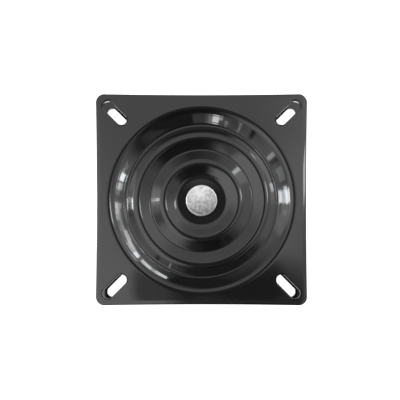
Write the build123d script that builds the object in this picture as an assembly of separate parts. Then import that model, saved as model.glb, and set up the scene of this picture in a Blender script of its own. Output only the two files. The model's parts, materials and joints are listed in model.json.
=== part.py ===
"""Square ball-bearing swivel plate for turning a screen, a seat or a tray on its base.

Two identical square pressings lie face to face. Each is one steel sheet with a flat flange, a
corrugated dish and a slot in every corner. The crests of the two dishes face each other and make
two round-bottomed ball races. A stepped rivet through the middle is peened to the lower pressing, and
the upper pressing turns about it on a flanged bush. Each row of balls rides in a moulded cage.

Frame: the swivel axis is Z, the origin is the middle of the lower mounting face, and the sides of
the plates run along X and Y. Lengths are in millimetres and angles in degrees.
"""

import math
import os

from build123d import *

# Square pressings
plate_side = 200.0
side_draw_in = 1.1
corner_radius = 8.0
sheet = 2.5
overall_height = 25.0
edge_round = 0.8

# Corrugated dish: two ball races, the trough between them, the rim trough and the wall to the flange
race_inset = 38.1
race_flank_angle = 19.8
rim_flank_angle = 26.0
wall_angle = 39.5
plate_gap = 1.0
rim_gap = 1.0

# Bends of the sheet, each measured on the inside of its bend
groove_radius = 8.5
floor_bend = 20.0
trough_bend = 3.5
rim_bend = 3.5
flange_bend = 11.0

# Slots for the mounting bolts, one on each diagonal of the plate
slot_width = 10.0
slot_length = 28.0
slot_inset = 18.0

# Balls and the cages that space them
ball_diameter = 8.0
ball_clearance = 0.15
outer_ball_count = 20
inner_ball_count = 12
cage_thickness = 3.0
cage_rim_width = 5.0
cage_eye_wall = 1.6
pocket_clearance = 0.2

# Stepped rivet, its bush and its washer
rivet_head_diameter = 30.0
rivet_head_height = 3.2
rivet_head_round = 0.9
rivet_shank_diameter = 16.0
rivet_tail_diameter = 11.0
tail_head_diameter = 20.0
tail_head_rim = 1.0
tail_head_height = 3.0
tail_washer_diameter = 26.0
tail_washer_thickness = 1.5
bush_wall = 1.6
bush_flange_diameter = 27.0
bush_flange_thickness = 1.0
bush_seat_margin = 0.5
running_clearance = 0.06
end_float = 0.1

# Places that follow from the sizes above; race, trough and rim heights are above mid height
mid_height = overall_height / 2
ball_radius = ball_diameter / 2
flank = math.radians(race_flank_angle)
rim_flank = math.radians(rim_flank_angle)
wall = math.radians(wall_angle)
race_height = ball_radius + ball_clearance
trough_height = plate_gap / 2
rim_height = rim_gap / 2
flange_height = mid_height - sheet
trough_underside_bend = trough_bend + sheet
rim_underside_bend = rim_bend + sheet


def flank_run(rise, bends, angle):
    """Level distance from a crest to a trough whose bends are joined by one slanting flank."""
    return (rise + bends * (1 / math.cos(angle) - 1)) / math.tan(angle)


floor_run = flank_run(race_height - trough_height, groove_radius, flank)
race_run = flank_run(race_height - trough_height, groove_radius + trough_underside_bend, flank)
rim_run = flank_run(race_height - rim_height, groove_radius + rim_underside_bend, rim_flank)
wall_run = flank_run(flange_height - rim_height, rim_underside_bend, wall)
outer_race_radius = plate_side / 2 - race_inset
middle_trough_radius = outer_race_radius - race_run
inner_race_radius = middle_trough_radius - race_run
floor_radius = inner_race_radius - floor_run
rim_trough_radius = outer_race_radius + rim_run
dish_radius = rim_trough_radius + wall_run
bush_seat_radius = bush_flange_diameter / 2 + bush_seat_margin
floor_corner_radius = floor_radius - sheet * math.tan(flank / 2)
floor_bend_room = (floor_corner_radius - bush_seat_radius) / math.tan(flank / 2)
floor_topside_bend = min(floor_bend, floor_bend_room)
corner_reach = plate_side / math.sqrt(2)
bush_bore_radius = rivet_shank_diameter / 2 + running_clearance
bush_radius = bush_bore_radius + bush_wall
upper_floor_underside = mid_height + trough_height
upper_floor_top = upper_floor_underside + sheet
lower_floor_top = overall_height - upper_floor_underside
lower_floor_underside = overall_height - upper_floor_top
bush_top = upper_floor_top + bush_flange_thickness
rivet_head_seat = bush_top + end_float
rivet_head_top = rivet_head_seat + rivet_head_height
tail_washer_underside = lower_floor_underside - tail_washer_thickness


def offset_corners(corners, distance):
    """Corner points of a polyline moved sideways, to its left, by one distance."""
    points = [Vector(*corner) for corner in corners]
    steps = [(b - a).normalized() for a, b in zip(points, points[1:])]
    normals = [Vector(-step.Y, step.X) for step in steps]
    moved = [points[0] + normals[0] * distance]
    for point, before, after in zip(points[1:], normals, normals[1:]):
        miter = (before + after) * (1 / (1 + before.dot(after)))
        moved.append(point + miter * distance)
    moved.append(points[-1] + normals[-1] * distance)
    return moved


def bend_corner(radius, height, bend, inner, outer):
    """Sharp corner of the two flanks that touch a bend and slant by an inner and an outer angle.

    The bend is level at this radius and this height above mid height. Its own radius is positive
    in a trough, which has its centre above it, and negative on a crest.
    """
    reach = bend / math.cos((inner + outer) / 2)
    lean = (outer - inner) / 2
    return (radius + abs(reach) * math.sin(lean), mid_height + height + bend - reach * math.cos(lean))


def dish_section(hole_radius):
    """Half section of the upper pressing, from its centre hole out to the corner of the flange."""
    flange_underside = mid_height + flange_height
    underside = [
        (hole_radius, upper_floor_underside),
        (floor_radius, upper_floor_underside),
        bend_corner(inner_race_radius, race_height, -groove_radius, flank, flank),
        bend_corner(middle_trough_radius, trough_height, trough_underside_bend, flank, flank),
        bend_corner(outer_race_radius, race_height, -groove_radius, flank, rim_flank),
        bend_corner(rim_trough_radius, rim_height, rim_underside_bend, rim_flank, wall),
        (dish_radius, flange_underside),
        (corner_reach, flange_underside),
    ]
    topside = offset_corners(underside, sheet)
    floor_underside_bend = floor_topside_bend + sheet
    race_topside_bend = groove_radius + sheet
    flange_topside_bend = flange_bend + sheet
    lower_line = FilletPolyline(
        *underside,
        radius=[
            floor_underside_bend,
            groove_radius,
            trough_underside_bend,
            groove_radius,
            rim_underside_bend,
            flange_bend,
        ],
    )
    upper_line = FilletPolyline(
        *topside,
        radius=[
            floor_topside_bend,
            race_topside_bend,
            trough_bend,
            race_topside_bend,
            rim_bend,
            flange_topside_bend,
        ],
    )
    hole_wall = Line(lower_line @ 0, upper_line @ 0)
    corner_wall = Line(lower_line @ 1, upper_line @ 1)
    return make_face([lower_line, corner_wall, upper_line, hole_wall])


def plate_outline():
    """Square with rounded corners, its sides drawn in at the middle by the pressing of the dish."""
    half = plate_side / 2
    corners = [(half, half), (-half, half), (-half, -half), (half, -half)]
    drawn = half - side_draw_in
    middles = [(0, drawn), (-drawn, 0), (0, -drawn), (drawn, 0)]
    sides = [
        ThreePointArc(start, middle, end)
        for start, middle, end in zip(corners, middles, corners[1:] + corners[:1])
    ]
    sharp = make_face(sides)
    return fillet(sharp.vertices(), corner_radius)


def corner_slots():
    """Outlines of the four bolt slots, each along its own diagonal of the plate."""
    place = plate_side / 2 - slot_inset
    slots = Sketch()
    for x_side in (-1, 1):
        for y_side in (-1, 1):
            slot = Rot(0, 0, 45 * x_side * y_side) * SlotOverall(slot_length, slot_width)
            slots += Pos(x_side * place, y_side * place) * slot
    return slots


def upper_pressing(hole_radius):
    """The upper plate: corrugated dish, flange, slots and the edges that shearing leaves round."""
    dish = revolve(Plane.XZ * dish_section(hole_radius), axis=Axis.Z)
    plate = dish & extrude(plate_outline(), overall_height)
    plate -= extrude(corner_slots(), overall_height)
    face = plate.faces().filter_by(Axis.Z).sort_by(Axis.Z)[-1]
    sheared = face.outer_wire().edges()
    for wire in face.inner_wires():
        if len(wire.edges()) > 2:
            sheared += wire.edges()
    return fillet(sheared, edge_round)


def lower_pressing(hole_radius):
    """The same pressing turned over, so that the two dishes face each other."""
    turned = Pos(0, 0, overall_height) * Rot(180, 0, 0)
    return turned * upper_pressing(hole_radius)


def race_places(race_radius, count):
    """Evenly spaced ball centres round one race, at mid height."""
    return Pos(0, 0, mid_height) * PolarLocations(race_radius, count)


def ball_cage(race_radius, count):
    """A moulded ring with an eye round every ball, each eye hollowed to hold its ball."""
    rim_half = cage_rim_width / 2
    eye_radius = ball_radius + pocket_clearance + cage_eye_wall
    outline = Circle(race_radius + rim_half) - Circle(race_radius - rim_half)
    outline += PolarLocations(race_radius, count) * Circle(eye_radius)
    cage = Pos(0, 0, mid_height - cage_thickness / 2) * extrude(outline, cage_thickness)
    pockets = race_places(race_radius, count) * Sphere(ball_radius + pocket_clearance)
    return cage - pockets


def turned_part(points, rounded=()):
    """A solid of revolution about Z from (radius, height) points, some corners rounded."""
    section = make_face(Polyline(*points, close=True))
    for point, radius in rounded:
        corner = section.vertices().sort_by_distance(point)[0]
        section = fillet(corner, radius)
    return revolve(Plane.XZ * section, axis=Axis.Z)


def centre_rivet():
    """Stepped rivet: head over the bush, shank, shoulder on the lower plate and peened tail."""
    head_radius = rivet_head_diameter / 2
    shank_radius = rivet_shank_diameter / 2
    tail_radius = rivet_tail_diameter / 2
    rim_radius = tail_head_diameter / 2
    rim_end = tail_washer_underside - tail_head_rim
    tail_end = tail_washer_underside - tail_head_height
    head_edge = (head_radius, rivet_head_top)
    body = turned_part(
        [
            (0, rim_end),
            (rim_radius, rim_end),
            (rim_radius, tail_washer_underside),
            (tail_radius, tail_washer_underside),
            (tail_radius, lower_floor_top),
            (shank_radius, lower_floor_top),
            (shank_radius, rivet_head_seat),
            (head_radius, rivet_head_seat),
            head_edge,
            (0, rivet_head_top),
        ],
        [(head_edge, rivet_head_round)],
    )
    crown_rise = rim_end - tail_end
    crown_radius = (rim_radius**2 + crown_rise**2) / (2 * crown_rise)
    crown_ball = Pos(0, 0, tail_end + crown_radius) * Sphere(crown_radius)
    crown_blank = Cylinder(rim_radius, crown_rise, align=(Align.CENTER, Align.CENTER, Align.MIN))
    return body + (Pos(0, 0, tail_end) * crown_blank & crown_ball)


def pivot_bush():
    """Flanged bush: its sleeve fills the hole of the upper plate, its flange carries the rivet head."""
    flange_radius = bush_flange_diameter / 2
    return turned_part(
        [
            (bush_bore_radius, upper_floor_underside),
            (bush_radius, upper_floor_underside),
            (bush_radius, upper_floor_top),
            (flange_radius, upper_floor_top),
            (flange_radius, bush_top),
            (bush_bore_radius, bush_top),
        ]
    )


def tail_washer():
    """Plain washer between the lower plate and the peened tail of the rivet."""
    bore_radius = rivet_tail_diameter / 2
    rim_radius = tail_washer_diameter / 2
    return turned_part(
        [
            (bore_radius, tail_washer_underside),
            (rim_radius, tail_washer_underside),
            (rim_radius, lower_floor_underside),
            (bore_radius, lower_floor_underside),
        ]
    )


def swivel_pieces():
    """Every piece of the swivel by name."""
    pieces = {
        "lower_plate": lower_pressing(rivet_tail_diameter / 2),
        "upper_plate": upper_pressing(bush_radius),
        "centre_rivet": centre_rivet(),
        "pivot_bush": pivot_bush(),
        "tail_washer": tail_washer(),
        "outer_ball_cage": ball_cage(outer_race_radius, outer_ball_count),
        "inner_ball_cage": ball_cage(inner_race_radius, inner_ball_count),
    }
    rows = {
        "outer_ball": race_places(outer_race_radius, outer_ball_count),
        "inner_ball": race_places(inner_race_radius, inner_ball_count),
    }
    for row, places in rows.items():
        for number, place in enumerate(places, start=1):
            pieces[f"{row}_{number:02d}"] = place * Sphere(ball_radius)
    return pieces


os.makedirs("parts", exist_ok=True)
for name, piece in swivel_pieces().items():
    export_step(piece, f"parts/{name}.step")
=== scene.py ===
"""Looks of the ball bearing swivel plate.

Its fine forms and finishes, the studio round it and the camera above it.
"""

import json
import math

import bpy
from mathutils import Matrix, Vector
from mathutils.geometry import delaunay_2d_cdt


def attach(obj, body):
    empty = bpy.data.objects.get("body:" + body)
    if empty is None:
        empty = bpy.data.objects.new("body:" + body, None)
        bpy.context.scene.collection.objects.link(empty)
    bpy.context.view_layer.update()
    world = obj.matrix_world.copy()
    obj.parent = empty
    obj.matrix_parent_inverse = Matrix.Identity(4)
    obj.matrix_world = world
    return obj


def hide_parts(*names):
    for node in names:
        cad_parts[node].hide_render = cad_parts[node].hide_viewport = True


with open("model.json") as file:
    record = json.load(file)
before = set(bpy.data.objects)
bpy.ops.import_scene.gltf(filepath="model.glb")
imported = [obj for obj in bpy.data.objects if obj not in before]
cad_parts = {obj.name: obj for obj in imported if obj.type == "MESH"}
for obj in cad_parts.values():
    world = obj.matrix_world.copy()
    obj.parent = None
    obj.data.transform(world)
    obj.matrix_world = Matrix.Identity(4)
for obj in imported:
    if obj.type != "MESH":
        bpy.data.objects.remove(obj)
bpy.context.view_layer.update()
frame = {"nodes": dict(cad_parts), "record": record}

MM = 0.001

# Pressed plates, in millimetres and degrees
PLATE_SIDE = 200.0
SIDE_DRAW_IN = 1.1
CORNER_RADIUS = 8.0
SHEET = 2.5
HEIGHT = 25.0
EDGE_ROUND = 0.8
EDGE_ROLL = 0.2
ROLL_WIDTH = 3.4
RACE_INSET = 38.1
RACE_FLANK = 19.8
RIM_FLANK = 26.0
WALL = 39.5
PLATE_GAP = 1.0
RIM_GAP = 1.0
GROOVE_RADIUS = 8.5
FLOOR_BEND = 20.0
TROUGH_BEND = 3.5
RIM_BEND = 3.5
FLANGE_BEND = 11.0
SLOT_WIDTH = 10.0
SLOT_LENGTH = 28.0
SLOT_INSET = 18.0
RACE_HEIGHT = 4.15
WALL_CROWN = 0.09
UPPER_HOLE = 9.66
LOWER_HOLE = 5.5

# Centre rivet, in millimetres
HEAD_RADIUS = 15.0
HEAD_SEAT = 16.6
HEAD_TOP = 19.8
HEAD_ROUND = 0.9
HEAD_CROWN = 0.45
SHANK_RADIUS = 8.0
SHOULDER = 12.0
TAIL_RADIUS = 5.5
TAIL_SEAT = 8.0
TAIL_HEAD_RADIUS = 10.0
TAIL_HEAD_RIM = 1.0
TAIL_HEAD_RISE = 2.0

# Where the painted highlight on the rivet's head is centred, and the middle of the head, in metres
PAINTED_HIGHLIGHT_SPOT = (-0.003, 0.009, HEAD_TOP * MM)
HEAD_MIDDLE = (0.0, 0.0, HEAD_TOP * MM)

# Fineness of the meshes: bends are divided by degrees, straight runs by millimetres,
# and the rest into so many parts
SEGMENTS = 240
FINE_STEP = 1.5
COARSE_STEP = 5.0
FLAT_STEP = 1.0
SIDE_STEPS = 20
CORNER_STEPS = 16
SLOT_END_STEPS = 24
EDGE_STEPS = 6
TAIL_STEPS = 12
ROUND_STEPS = 8
CROWN_STEPS = 20

# Narrow level band beside each edge, in millimetres
EDGE_GUARD = 0.5

# Edges that turn by more degrees than this stay sharp
SHARP_ANGLE = 40.0

# Level faces are filled inside their edges, and points closer than this are one
FILL_INSIDE = 1
SAME_POINT = 1e-7

# Camera: straight down, with its foot towards the near side of the plate; metres, the lens in millimetres
CAMERA_HEIGHT = 0.430
CAMERA_FOOT = (-0.0014, -0.055)
CAMERA_LENS = 41.06
CAMERA_SHIFT = 0.145

# Studio, in metres
CENTRE = Vector((0.0, 0.0, HEIGHT * MM))
WINDOW_DISTANCE = 4.0
FLOOR_SIZE = 8.0
BACKDROP_RADIUS = 3.9
BACKDROP_HEIGHT = 8.0
SCREEN_RISE = 0.004

# Where a gauze screen starts to thin out and where it ends, against its half size
GAUZE_FULL = 0.55
GAUZE_END = 1.1

# Strengths and tints of the light
CEILING_GLOW = 1.6
LEAST_GLOW = 0.12
FLOOR_GLOW = 0.9
COOL = (0.94, 0.98, 1.0)
NEUTRAL = (1.0, 1.0, 1.0)


class Nodes:
    """A material's node tree, with short calls for the nodes that these finishes use."""

    def __init__(self, name):
        self.material = bpy.data.materials.new(name)
        self.material.use_nodes = True
        self.tree = self.material.node_tree
        self.shader = self.tree.nodes["Principled BSDF"]
        coordinates = self.tree.nodes.new("ShaderNodeTexCoord")
        self.place = coordinates.outputs["Object"]

    def link(self, source, target):
        self.tree.links.new(source, target)

    def noise(self, scale, detail=2.0, roughness=0.5, distortion=0.0):
        """Soft random values from 0 to 1."""
        node = self.tree.nodes.new("ShaderNodeTexNoise")
        node.inputs["Scale"].default_value = scale
        node.inputs["Detail"].default_value = detail
        node.inputs["Roughness"].default_value = roughness
        node.inputs["Distortion"].default_value = distortion
        self.link(self.place, node.inputs["Vector"])
        return node.outputs["Fac"]

    def span(self, value, low, high, to_low, to_high):
        """The value's stretch from low to high, mapped to another stretch and held at its ends."""
        node = self.tree.nodes.new("ShaderNodeMapRange")
        sockets = ("From Min", "From Max", "To Min", "To Max")
        for socket, number in zip(sockets, (low, high, to_low, to_high)):
            node.inputs[socket].default_value = number
        self.link(value, node.inputs["Value"])
        return node.outputs["Result"]

    def distance(self, point, drift):
        """How far a place lies from this point, with a drifting value added."""
        node = self.tree.nodes.new("ShaderNodeVectorMath")
        node.operation = "DISTANCE"
        node.inputs[1].default_value = point
        self.link(self.place, node.inputs[0])
        total = self.tree.nodes.new("ShaderNodeMath")
        self.link(node.outputs["Value"], total.inputs[0])
        self.link(drift, total.inputs[1])
        return total.outputs["Value"]

    def product(self, first, second):
        """Two values multiplied."""
        node = self.tree.nodes.new("ShaderNodeMath")
        node.operation = "MULTIPLY"
        self.link(first, node.inputs[0])
        self.link(second, node.inputs[1])
        return node.outputs["Value"]

    def mix(self, share, first, second):
        """One colour passing into another."""
        node = self.tree.nodes.new("ShaderNodeMix")
        node.data_type = "RGBA"
        node.inputs["A"].default_value = (*first, 1.0)
        node.inputs["B"].default_value = (*second, 1.0)
        self.link(share, node.inputs["Factor"])
        return node.outputs["Result"]

    def bump(self, height, distance, strength, over=None):
        """Normals as if the surface had these small heights, on top of another bump where one is given."""
        node = self.tree.nodes.new("ShaderNodeBump")
        node.inputs["Strength"].default_value = strength
        node.inputs["Distance"].default_value = distance
        self.link(height, node.inputs["Height"])
        if over is not None:
            self.link(over, node.inputs["Normal"])
        return node.outputs["Normal"]

    def set(self, **sockets):
        """Numbers and colours go on the shader's own sockets, and node outputs are linked to them."""
        for name, value in sockets.items():
            socket = self.shader.inputs[name.replace("_", " ")]
            if isinstance(value, bpy.types.NodeSocket):
                self.link(value, socket)
            else:
                socket.default_value = value


def black_paint():
    """Stoved black gloss: near-black, wet-looking, with a faint orange peel and a little dust."""
    nodes = Nodes("black_gloss_paint")
    drift = nodes.noise(scale=30.0, detail=3.0)
    dust = nodes.span(nodes.noise(scale=1900.0, detail=1.0), 0.70, 0.78, 0.0, 1.0)
    peel = nodes.bump(nodes.noise(scale=420.0), distance=0.00002, strength=0.15)
    nodes.set(
        Base_Color=nodes.mix(dust, (0.0032, 0.0032, 0.0033), (0.012, 0.012, 0.012)),
        Roughness=nodes.span(drift, 0.3, 0.7, 0.045, 0.085),
        IOR=1.5,
        Normal=peel,
    )
    return nodes.material


def zinc_plate():
    """Barrel-plated zinc: pale, satin and finely mottled."""
    nodes = Nodes("zinc_plate")
    mottle = nodes.noise(scale=900.0, detail=4.0, roughness=0.6)
    fine = nodes.noise(scale=3600.0, detail=3.0, roughness=0.6)
    pale = nodes.span(mottle, 0.35, 0.65, 0.0, 1.0)
    nodes.set(
        Base_Color=nodes.mix(pale, (0.49, 0.49, 0.47), (0.60, 0.60, 0.57)),
        Metallic=1.0,
        Roughness=nodes.span(fine, 0.3, 0.7, 0.28, 0.42),
        Normal=nodes.bump(fine, distance=0.00006, strength=0.4),
    )
    return nodes.material


def struck_zinc():
    """Plated rivet, mottled; its colour is painted lighter towards the upper side of the head and round its
    edge as highlight, and painted darker elsewhere as shade.
    """
    nodes = Nodes("struck_zinc")
    mottle = nodes.noise(scale=300.0, detail=2.5, roughness=0.55)
    fine = nodes.noise(scale=1600.0)
    reach = nodes.distance(PAINTED_HIGHLIGHT_SPOT, nodes.span(mottle, 0.32, 0.68, -0.006, 0.006))
    edge = nodes.distance(HEAD_MIDDLE, nodes.span(fine, 0.3, 0.7, -0.0005, 0.0005))
    # Painted highlight round the rim of the head: the painted shade is cut back there
    painted_rim_highlight = nodes.span(edge, 0.0129, 0.0146, 1.0, 0.45)
    # Painted shade: darker away from the painted highlight spot, drifted by the mottle, and held back at
    # the rim
    painted_shade_and_mottle = nodes.product(nodes.span(reach, 0.001, 0.026, 0.0, 1.0), painted_rim_highlight)
    pits = nodes.bump(mottle, distance=0.00016, strength=0.16)
    # Base colour runs from painted highlight to painted shade; the roughness follows the same mask
    nodes.set(
        Base_Color=nodes.mix(painted_shade_and_mottle, (0.58, 0.58, 0.575), (0.10, 0.10, 0.099)),
        Metallic=1.0,
        Roughness=nodes.span(painted_shade_and_mottle, 0.0, 1.0, 0.41, 0.44),
        Normal=nodes.bump(fine, distance=0.00004, strength=0.12, over=pits),
    )
    return nodes.material


def moulded_nylon(name, dark, light, roughness):
    """Injection-moulded nylon: faint flow marks and a fine satin grain."""
    nodes = Nodes(name)
    flow = nodes.noise(scale=90.0, detail=3.0, roughness=0.55, distortion=0.8)
    grain = nodes.bump(nodes.noise(scale=2600.0), distance=0.00003, strength=0.3)
    nodes.set(
        Base_Color=nodes.mix(flow, dark, light),
        Roughness=nodes.span(flow, 0.3, 0.7, roughness - 0.06, roughness + 0.06),
        Normal=grain,
    )
    return nodes.material


def bearing_steel():
    """Ground and polished balls with a trace of grease."""
    nodes = Nodes("bearing_steel")
    film = nodes.noise(scale=260.0, detail=3.0, roughness=0.6)
    nodes.set(
        Base_Color=nodes.mix(film, (0.66, 0.66, 0.67), (0.80, 0.80, 0.80)),
        Metallic=1.0,
        Roughness=nodes.span(film, 0.35, 0.7, 0.06, 0.20),
    )
    return nodes.material


def pale_floor():
    """Matt white table, lit from within as a light table is."""
    nodes = Nodes("pale_floor")
    drift = nodes.noise(scale=3.0)
    nodes.set(
        Base_Color=nodes.mix(drift, (0.50, 0.50, 0.50), (0.52, 0.52, 0.52)),
        Roughness=0.9,
        Specular_IOR_Level=0.1,
        Emission_Color=(*NEUTRAL, 1.0),
        Emission_Strength=FLOOR_GLOW,
    )
    return nodes.material


FINISHES = {
    "black_paint": black_paint(),
    "rivet_metal": struck_zinc(),
    "washer_metal": zinc_plate(),
    "bush_plastic": moulded_nylon("black_nylon", (0.010, 0.010, 0.010), (0.022, 0.022, 0.022), 0.45),
    "cage_plastic": moulded_nylon("natural_nylon", (0.66, 0.64, 0.57), (0.78, 0.77, 0.71), 0.42),
    "ball_steel": bearing_steel(),
}


def finish_nodes():
    """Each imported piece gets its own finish."""
    for part in frame["record"]["subparts"]:
        piece = frame["nodes"][part["node"]]
        piece.data.materials.clear()
        piece.data.materials.append(FINISHES[part["material_slot"]])


def flank_run(rise, bends, angle):
    """Level distance from a crest to a trough whose bends are joined by one slanting flank."""
    slant = math.radians(angle)
    return (rise + bends * (1 / math.cos(slant) - 1)) / math.tan(slant)


def dish_line(hole, down, step):
    """Half section of the dish, from its centre hole to the flange, as (radius, height) points.

    The line lies this far down from the upper side of the sheet, and its bends are divided by this step.
    """
    trough_out, rim_out = TROUGH_BEND + SHEET, RIM_BEND + SHEET
    race_rise = RACE_HEIGHT - PLATE_GAP / 2
    flange_rise = HEIGHT / 2 - SHEET - RIM_GAP / 2
    outer_race = PLATE_SIDE / 2 - RACE_INSET
    race_run = flank_run(race_rise, GROOVE_RADIUS + trough_out, RACE_FLANK)
    inner_race = outer_race - 2 * race_run
    floor_end = inner_race - flank_run(race_rise, GROOVE_RADIUS + FLOOR_BEND + SHEET, RACE_FLANK)
    rim = outer_race + flank_run(RACE_HEIGHT - RIM_GAP / 2, GROOVE_RADIUS + rim_out, RIM_FLANK)
    flange = rim + flank_run(flange_rise, rim_out + FLANGE_BEND, WALL)
    top = HEIGHT / 2 + SHEET
    crest = GROOVE_RADIUS + SHEET
    # Level point, height, bend radius (below zero on a crest), the slopes on either side of each bend,
    # and how far the run before it bulges
    bends = [
        (floor_end, top + PLATE_GAP / 2, FLOOR_BEND, 0.0, RACE_FLANK, 0.0),
        (inner_race, top + RACE_HEIGHT, -crest, RACE_FLANK, -RACE_FLANK, 0.0),
        (outer_race - race_run, top + PLATE_GAP / 2, TROUGH_BEND, -RACE_FLANK, RACE_FLANK, 0.0),
        (outer_race, top + RACE_HEIGHT, -crest, RACE_FLANK, -RIM_FLANK, 0.0),
        (rim, top + RIM_GAP / 2, RIM_BEND, -RIM_FLANK, WALL, 0.0),
        (flange, HEIGHT, -FLANGE_BEND - SHEET, WALL, 0.0, WALL_CROWN),
    ]
    line = [(hole, top + PLATE_GAP / 2 - down)]
    for radius, height, bend, start, end, bulge in bends:
        bend += down
        steps = math.ceil(abs(end - start) / step)
        arc = []
        for number in range(steps + 1):
            slope = math.radians(start + (end - start) * number / steps)
            arc.append((radius + bend * math.sin(slope), height - down + bend * (1 - math.cos(slope))))
        before = line[-1]
        lean = math.radians(start)
        parts = math.ceil(math.dist(before, arc[0]) / FLAT_STEP)
        for number in range(1, parts):
            share = number / parts
            lift = 4 * bulge * share * (1 - share)
            line.append((before[0] + (arc[0][0] - before[0]) * share - lift * math.sin(lean),
                         before[1] + (arc[0][1] - before[1]) * share + lift * math.cos(lean)))
        line += arc
    return line


def plate_outline():
    """Sides drawn in at their middle and round corners, as (x, y, outward x, outward y) all round."""
    half = PLATE_SIDE / 2
    drawn = half - SIDE_DRAW_IN
    bow = (half**2 + SIDE_DRAW_IN**2) / (2 * SIDE_DRAW_IN)
    pole = drawn + bow
    reach = bow + CORNER_RADIUS
    corner = (pole - math.sqrt(2 * reach**2 - pole**2)) / 2
    swing = math.asin(corner / reach)
    quarter = []
    for number in range(SIDE_STEPS + 1):
        turn = swing * (2 * number / SIDE_STEPS - 1)
        quarter.append((pole - bow * math.cos(turn), bow * math.sin(turn), math.cos(turn), -math.sin(turn)))
    for number in range(1, CORNER_STEPS):
        turn = -swing + (math.pi / 2 + 2 * swing) * number / CORNER_STEPS
        x, y = math.cos(turn), math.sin(turn)
        quarter.append((corner + CORNER_RADIUS * x, corner + CORNER_RADIUS * y, x, y))
    loop = list(quarter)
    for _ in range(3):
        quarter = [(-y, x, -ny, nx) for x, y, nx, ny in quarter]
        loop += quarter
    return loop


def corner_slots():
    """The four bolt slots as loops like the outline's, with their normals into the slot."""
    place = PLATE_SIDE / 2 - SLOT_INSET
    radius = SLOT_WIDTH / 2
    straight = (SLOT_LENGTH - SLOT_WIDTH) / 2
    loops = []
    for quadrant in range(4):
        turn = math.pi / 4 + quadrant * math.pi / 2
        along = (math.cos(turn), math.sin(turn))
        across = (-along[1], along[0])
        middle = (place * math.copysign(1, along[0]), place * math.copysign(1, along[1]))
        loop = []
        for end in (1, -1):
            for number in range(SLOT_END_STEPS + 1):
                swing = math.pi / 2 - math.pi * number / SLOT_END_STEPS
                u, v = end * math.cos(swing), end * math.sin(swing)
                out = (u * along[0] + v * across[0], u * along[1] + v * across[1])
                loop.append((middle[0] + end * straight * along[0] + radius * out[0],
                             middle[1] + end * straight * along[1] + radius * out[1], -out[0], -out[1]))
        loops.append(loop)
    return loops


def put(name, data):
    """A new object in the scene that shows this mesh, lamp or camera."""
    thing = bpy.data.objects.new(name, data)
    bpy.context.scene.collection.objects.link(thing)
    return thing


class Mesh:
    """Points and faces of a piece as they are added, in millimetres."""

    def __init__(self):
        self.points = []
        self.faces = []

    def ring(self, places, height):
        """Adds a closed ring of points at one height and gives their numbers."""
        start = len(self.points)
        self.points += [(x, y, height) for x, y in places]
        return list(range(start, len(self.points)))

    def band(self, first, second):
        """Faces between two rings with as many points each."""
        for a, b, c, d in zip(first, second, second[1:] + second[:1], first[1:] + first[:1]):
            self.faces.append((a, b, c, d))

    def flat(self, rings, keep, up):
        """Triangles between the rings of one level, where keep says that a place is sheet and not air."""
        numbers = [number for ring in rings for number in ring]
        order = {number: place for place, number in enumerate(numbers)}
        edges = [(order[a], order[b]) for ring in rings for a, b in zip(ring, ring[1:] + ring[:1])]
        flat_points = [Vector(self.points[number][:2]) for number in numbers]
        filled = delaunay_2d_cdt(flat_points, edges, [], FILL_INSIDE, SAME_POINT)
        _, _, triangles, origins, _, _ = filled
        for triangle in triangles:
            corners = [numbers[origins[corner][0]] for corner in triangle]
            x, y = (sum(self.points[corner][axis] for corner in corners) / 3 for axis in (0, 1))
            if keep(x, y):
                self.faces.append(tuple(corners if up else reversed(corners)))

    def piece(self, name, material, turned=False):
        """The finished object; turned lays it on its face."""
        if turned:
            points = [(x * MM, -y * MM, (HEIGHT - z) * MM) for x, y, z in self.points]
        else:
            points = [(x * MM, y * MM, z * MM) for x, y, z in self.points]
        mesh = bpy.data.meshes.new(name)
        mesh.from_pydata(points, [], self.faces)
        mesh.polygons.foreach_set("use_smooth", [True] * len(mesh.polygons))
        mesh.set_sharp_from_angle(angle=math.radians(SHARP_ANGLE))
        mesh.materials.append(material)
        return put(name, mesh)


def circle(radius):
    """Places all round a circle."""
    turns = [2 * math.pi * number / SEGMENTS for number in range(SEGMENTS)]
    return [(radius * math.cos(turn), radius * math.sin(turn)) for turn in turns]


def is_flange(x, y, dish_end):
    """Whether a place lies outside the dish and clear of the slots."""
    if math.hypot(x, y) < dish_end:
        return False
    place = PLATE_SIDE / 2 - SLOT_INSET
    along = abs(abs(x) + abs(y) - 2 * place) / math.sqrt(2)
    across = abs(abs(x) - abs(y)) / math.sqrt(2)
    past = max(0.0, along - (SLOT_LENGTH - SLOT_WIDTH) / 2)
    return math.hypot(past, across) > SLOT_WIDTH / 2


def sheared_edge(roll):
    """Section of a sheared edge as (inset, height) points.

    It is drawn down by this roll, then round, then straight.
    """
    start = math.atan(2 * roll / ROLL_WIDTH)
    inset = EDGE_ROUND * (1 - math.sin(start))
    line = [(inset + EDGE_GUARD, HEIGHT)]
    if roll:
        line = [(inset + ROLL_WIDTH + EDGE_GUARD, HEIGHT)]
        shares = [number / EDGE_STEPS for number in range(EDGE_STEPS)]
        line += [(inset + ROLL_WIDTH * (1 - share), HEIGHT - roll * share**2) for share in shares]
    for number in range(EDGE_STEPS + 1):
        slope = start + (math.pi / 2 - start) * number / EDGE_STEPS
        drop = roll + EDGE_ROUND * (math.cos(start) - math.cos(slope))
        line.append((EDGE_ROUND * (1 - math.sin(slope)), HEIGHT - drop))
    line.append((0.0, HEIGHT - SHEET))
    return line


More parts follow.
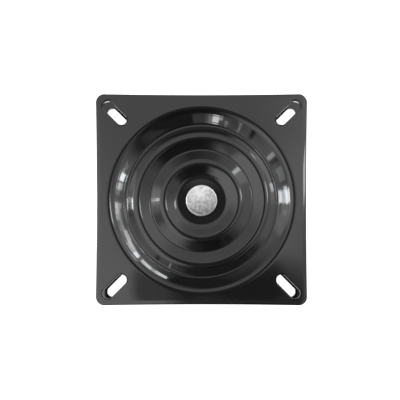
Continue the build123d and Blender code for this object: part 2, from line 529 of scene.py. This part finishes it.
def pressed_plate(name, hole, turned):
    """One pressing: dish, flange, slots and the sheared edges that are round on the outer side."""
    mesh = Mesh()
    top_line = dish_line(hole, 0.0, FINE_STEP)
    under_line = dish_line(hole, SHEET, COARSE_STEP)
    guard = top_line[-1][0] + EDGE_GUARD
    tops = [mesh.ring(circle(radius), height) for radius, height in top_line + [(guard, HEIGHT)]]
    unders = [mesh.ring(circle(radius), height) for radius, height in under_line]
    for first, second in zip(tops, tops[1:]):
        mesh.band(first, second)
    for first, second in zip(unders, unders[1:]):
        mesh.band(second, first)
    mesh.band(unders[0], tops[0])

    top_rings, under_rings = [tops[-1]], [unders[-1]]
    for loop, roll in [(plate_outline(), EDGE_ROLL)] + [(slot, 0.0) for slot in corner_slots()]:
        rings = []
        for inset, height in sheared_edge(roll):
            rings.append(mesh.ring([(x - nx * inset, y - ny * inset) for x, y, nx, ny in loop], height))
        for first, second in zip(rings, rings[1:]):
            mesh.band(first, second)
        top_rings.append(rings[0])
        under_rings.append(rings[-1])
    mesh.flat(top_rings, lambda x, y: is_flange(x, y, guard), True)
    mesh.flat(under_rings, lambda x, y: is_flange(x, y, under_line[-1][0]), False)
    return mesh.piece(name, FINISHES["black_paint"], turned)


def dress_plates():
    """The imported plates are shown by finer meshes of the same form, so that their gloss runs smooth."""
    plates = (
        ("upper_plate", "upper", UPPER_HOLE, False),
        ("lower_plate", "lower", LOWER_HOLE, True),
    )
    for node, body, hole, turned in plates:
        piece = pressed_plate(f"{node}_pressing", hole, turned)
        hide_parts(node)
        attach(piece, body)


def rivet_line():
    """Half section of the stepped rivet, from its peened tail to its crowned head."""
    line = []
    tail_ball = (TAIL_HEAD_RADIUS**2 + TAIL_HEAD_RISE**2) / (2 * TAIL_HEAD_RISE)
    tail_end = TAIL_SEAT - TAIL_HEAD_RIM - TAIL_HEAD_RISE
    for number in range(1, TAIL_STEPS + 1):
        radius = TAIL_HEAD_RADIUS * number / TAIL_STEPS
        line.append((radius, tail_end + tail_ball - math.sqrt(tail_ball**2 - radius**2)))
    line += [(TAIL_HEAD_RADIUS, TAIL_SEAT), (TAIL_RADIUS, TAIL_SEAT), (TAIL_RADIUS, SHOULDER)]
    line += [(SHANK_RADIUS, SHOULDER), (SHANK_RADIUS, HEAD_SEAT), (HEAD_RADIUS, HEAD_SEAT)]
    flat = HEAD_RADIUS - HEAD_ROUND
    edge = HEAD_TOP - HEAD_CROWN - HEAD_ROUND
    for number in range(ROUND_STEPS + 1):
        turn = math.pi / 2 * number / ROUND_STEPS
        line.append((flat + HEAD_ROUND * math.cos(turn), edge + HEAD_ROUND * math.sin(turn)))
    for number in range(CROWN_STEPS - 1, 0, -1):
        share = number / CROWN_STEPS
        line.append((flat * share, HEAD_TOP - HEAD_CROWN * share**2))
    return line


def dress_rivet():
    """The rivet is shown by a turned mesh whose head has the slight crown that striking leaves."""
    mesh = Mesh()
    rings = [mesh.ring(circle(radius), height) for radius, height in rivet_line()]
    for first, second in zip(rings, rings[1:]):
        mesh.band(second, first)
    mesh.faces.append(tuple(reversed(rings[0])))
    mesh.faces.append(tuple(rings[-1]))
    piece = mesh.piece("centre_rivet_turned", FINISHES["rivet_metal"])
    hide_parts("centre_rivet")
    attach(piece, "lower")


def level_square(name, half, material):
    """A level square about its own middle, with sides of twice this half."""
    corners = [(-half, -half, 0), (half, -half, 0), (half, half, 0), (-half, half, 0)]
    mesh = bpy.data.meshes.new(name)
    mesh.from_pydata(corners, [], [(0, 1, 2, 3)])
    mesh.materials.append(material)
    return put(name, mesh)


def add_floor():
    """The pale table under the part."""
    floor = level_square("floor", FLOOR_SIZE / 2, pale_floor())


def add_backdrop():
    """A pale wall round the floor, which only the camera sees."""
    mesh = bpy.data.meshes.new("backdrop")
    foot = [(x, y, 0) for x, y in circle(BACKDROP_RADIUS)]
    head = [(x, y, BACKDROP_HEIGHT) for x, y, _ in foot]
    following = list(range(1, SEGMENTS)) + [0]
    walls = [(n, following[n], SEGMENTS + following[n], SEGMENTS + n) for n in range(SEGMENTS)]
    mesh.from_pydata(foot + head, [], walls)
    mesh.materials.append(pale_floor())
    backdrop = put("backdrop", mesh)
    backdrop.visible_diffuse = False
    backdrop.visible_glossy = False
    backdrop.visible_shadow = False


def direction(azimuth, lean):
    """Unit vector at an azimuth from +X and a lean from straight up, in degrees."""
    turn, tilt = math.radians(azimuth), math.radians(lean)
    return Vector((math.sin(tilt) * math.cos(turn), math.sin(tilt) * math.sin(turn), math.cos(tilt)))


def add_ceiling():
    """Pale light from all round, with soft brighter and darker parts of the studio.

    Each part has an azimuth, a lean from straight up, the angles at which it is full and at which it
    ends, and what it adds to the glow.
    """
    parts = [
        (88, 66, 8, 42, -0.6),
        (88, 62, 12, 22, -0.5),
        (106, 84, 14, 40, -0.8),
        (300, 68, 20, 38, -1.4),
        (282, 42, 16, 31, -1.35),
        (200, 32, 10, 34, 0.9),
        (195, 50, 6, 18, -0.7),
        (34, 31, 9, 20, 0.55),
        (40, 50, 3, 9, 1.2),
        (356, 27, 9, 19, -0.55),
        (134, 52, 8, 30, -0.4),
        (230, 52, 8, 20, -0.4),
        (26, 13, 3, 10, 0.45),
        (90, 20, 4, 20, -0.25),
        (165, 50, 3, 12, 1.6),
        (157, 67.5, 5, 10, 1.0),
        (167, 67, 2, 6, 1.2),
        (16, 63, 5, 12, 0.9),
        (36, 66, 6, 13, 1.2),
        (56, 68, 5, 11, 0.35),
        (250, 62, 6, 16, -0.5),
        (72, 75, 4, 13, -0.5),
        (184, 61, 3, 8, -0.6),
        (324, 42, 3, 13, -0.6),
        (300, 64, 10, 22, 0.3),
        (308, 40, 4, 12, 0.85),
    ]
    # Two upright dark bars and a level one
    parts += [(227.6, lean, 0.8, 2.4, -1.0) for lean in (56, 59, 62, 65)]
    parts += [(201.8, lean, 0.8, 2.2, -0.8) for lean in (62, 65, 68)]
    parts += [(azimuth, 42.5, 1.5, 3.5, -0.45) for azimuth in (187, 191, 195, 199)]
    world = bpy.data.worlds.new("studio")
    world.use_nodes = True
    nodes, links = world.node_tree.nodes, world.node_tree.links
    background = nodes["Background"]
    background.inputs["Color"].default_value = (*NEUTRAL, 1.0)
    ray = nodes.new("ShaderNodeTexCoord").outputs["Generated"]
    glow = None
    for azimuth, lean, full, end, change in parts:
        nearness = nodes.new("ShaderNodeVectorMath")
        nearness.operation = "DOT_PRODUCT"
        links.new(ray, nearness.inputs[0])
        nearness.inputs[1].default_value = direction(azimuth, lean)
        share = nodes.new("ShaderNodeMapRange")
        share.interpolation_type = "SMOOTHSTEP"
        share.inputs["From Min"].default_value = math.cos(math.radians(end))
        share.inputs["From Max"].default_value = math.cos(math.radians(full))
        share.inputs["To Max"].default_value = change
        links.new(nearness.outputs["Value"], share.inputs["Value"])
        total = nodes.new("ShaderNodeMath")
        links.new(share.outputs["Result"], total.inputs[0])
        if glow is None:
            total.inputs[1].default_value = CEILING_GLOW
        else:
            links.new(glow, total.inputs[1])
        glow = total.outputs["Value"]
    least = nodes.new("ShaderNodeMath")
    least.operation = "MAXIMUM"
    least.inputs[1].default_value = LEAST_GLOW
    links.new(glow, least.inputs[0])
    links.new(least.outputs["Value"], background.inputs["Strength"])
    bpy.context.scene.world = world


def add_window(name, azimuths, leans, glow, tint):
    """A light panel that shows in the paint as a window does.

    It lies between two azimuths and two leans, in degrees.
    """
    azimuth, lean = sum(azimuths) / 2, sum(leans) / 2
    light = bpy.data.lights.new(name, "AREA")
    light.shape = "RECTANGLE"
    light.size = math.radians(azimuths[1] - azimuths[0]) * math.sin(math.radians(lean)) * WINDOW_DISTANCE
    light.size_y = math.radians(leans[1] - leans[0]) * WINDOW_DISTANCE
    light.energy = glow * math.pi * light.size * light.size_y
    light.color = tint
    panel = put(name, light)
    panel.location = CENTRE + direction(azimuth, lean) * WINDOW_DISTANCE
    panel.rotation_euler = (panel.location - CENTRE).to_track_quat("Z", "Y").to_euler()
    panel.visible_camera = False


def soft_shade(name, density):
    """Black gauze with feathered edges, of this density in its middle.

    Its two squared coordinates taken together give the gauze the form of a rounded rectangle.
    """
    nodes = Nodes(name)
    square = nodes.tree.nodes.new("ShaderNodeVectorMath")
    square.operation = "MULTIPLY"
    length = nodes.tree.nodes.new("ShaderNodeVectorMath")
    length.operation = "LENGTH"
    nodes.link(nodes.place, square.inputs[0])
    nodes.link(nodes.place, square.inputs[1])
    nodes.link(square.outputs["Vector"], length.inputs[0])
    solid = nodes.span(length.outputs["Value"], GAUZE_FULL, GAUZE_END, density, 0.0)
    nodes.set(Base_Color=(0.003, 0.003, 0.003, 1.0), Roughness=1.0, Specular_IOR_Level=0.0, Alpha=solid)
    return nodes.material


def add_shade(name, level, place, half_sizes, density):
    """A gauze screen over the camera that shows only in reflections.

    Each has its own level. Its place and half sizes are in millimetres.
    """
    screen = level_square(name, GAUZE_END, soft_shade(name, density))
    screen.location = (place[0] * MM, place[1] * MM, CENTRE.z + CAMERA_HEIGHT + SCREEN_RISE * level)
    screen.scale = (half_sizes[0] * MM, half_sizes[1] * MM, 1.0)
    screen.visible_camera = False
    screen.visible_diffuse = False
    screen.visible_shadow = False


def add_studio():
    """Soft ceiling, window panels round the horizon and gauze screens on the camera's side.

    Each pane has its two azimuths, its two leans and its glow.
    """
    add_ceiling()
    west_panes = [
        ((169.5, 174), (47.5, 60.75), 18),
        ((174, 178.8), (47.5, 60.15), 18),
        ((169.5, 178.8), (62.4, 65.2), 22),
        ((178.8, 181.5), (62.8, 66), 14),
        ((170.3, 179.5), (65.2, 70.4), 9.5),
        ((171, 180), (70.4, 73.2), 17),
        ((166.8, 170.8), (44.6, 46.4), 9),
        ((185.5, 196), (60, 68.5), 1.8),
        ((204.3, 207.6), (60.5, 69), 4.2),
    ]
    south_panes = [
        ((238, 239.6), (57.5, 67), 2.7),
        ((239.8, 241.3), (54.3, 58), 3.2),
        ((248.9, 251.2), (60.3, 65.2), 3.0),
        ((253.4, 255.8), (57.9, 61.2), 5.5),
        ((256.2, 261.3), (57.8, 65), 12.5),
        ((261.3, 264.5), (57.6, 65.8), 2.8),
        ((264.5, 267), (57.4, 65.8), 1.1),
        ((267, 277), (57.4, 65.8), 0.6),
    ]
    east_panes = [
        ((339.8, 341.3), (63, 65), 2.2),
        ((341.5, 345), (63.5, 68), 1.8),
        ((345, 348), (63, 66.2), 3.5),
        ((348.2, 354), (63.6, 69.4), 20),
        ((355.3, 360.4), (64.1, 66.6), 12.5),
        ((355.3, 360.4), (66.6, 69.8), 7.5),
        ((360.4, 364.5), (64, 68), 2.4),
    ]
    north_east_panes = [
        ((9.5, 13), (64.5, 67.2), 11),
        ((9.5, 13), (67.2, 71.5), 4.5),
        ((15, 21.5), (62.7, 65), 9),
        ((13, 17), (65, 67.8), 9),
        ((13, 17), (67.8, 69.8), 4),
        ((17, 21), (65.5, 68), 5.2),
        ((17, 21), (68, 70.2), 2.8),
        ((21, 24.8), (67.2, 70.8), 2.9),
        ((24.8, 28.3), (67.6, 71.5), 3.6),
        ((28.3, 32), (68.8, 73.7), 6.8),
        ((32, 36), (69, 74.1), 7.4),
        ((36, 40), (68.6, 73.3), 9.2),
        ((40, 43.3), (68.9, 73.1), 8.2),
        ((43.6, 48), (68.2, 71.9), 17),
        ((43.6, 48), (71.9, 73.2), 5),
        ((50.2, 58), (69.9, 72.2), 14),
        ((58, 61.5), (70.2, 72.4), 7),
        ((61.5, 69), (70.7, 72.9), 14),
        ((44.5, 50.5), (41, 60), 2.6),
        ((46, 49.3), (48.5, 51.5), 5),
        ((18, 32), (20.5, 29.5), 8),
    ]
    for side, panes, tint in (
        ("west", west_panes, COOL),
        ("south", south_panes, NEUTRAL),
        ("east", east_panes, COOL),
        ("north_east", north_east_panes, COOL),
    ):
        for number, (azimuths, leans, glow) in enumerate(panes, 1):
            add_window(f"{side}_pane_{number}", azimuths, leans, glow, tint)

    add_shade("camera_screen", 1, (0, -10), (74, 116), 0.86)
    add_shade("near_screen", 2, (85, -235), (150, 190), 0.80)
    add_shade("near_left_corner_screen", 3, (-70, -108), (66, 42), 0.65)
    add_shade("near_right_corner_screen", 4, (95, -100), (70, 45), 0.65)


def add_camera():
    """The camera at the photograph's viewing angle."""
    camera = bpy.data.cameras.new("camera")
    camera.lens = CAMERA_LENS
    camera.shift_y = CAMERA_SHIFT
    holder = put("camera", camera)
    holder.location = (*CAMERA_FOOT, CENTRE.z + CAMERA_HEIGHT)
    bpy.context.scene.camera = holder


finish_nodes()
dress_plates()
dress_rivet()
add_floor()
add_backdrop()
add_studio()
add_camera()
bpy.context.scene.view_settings.view_transform = "Standard"
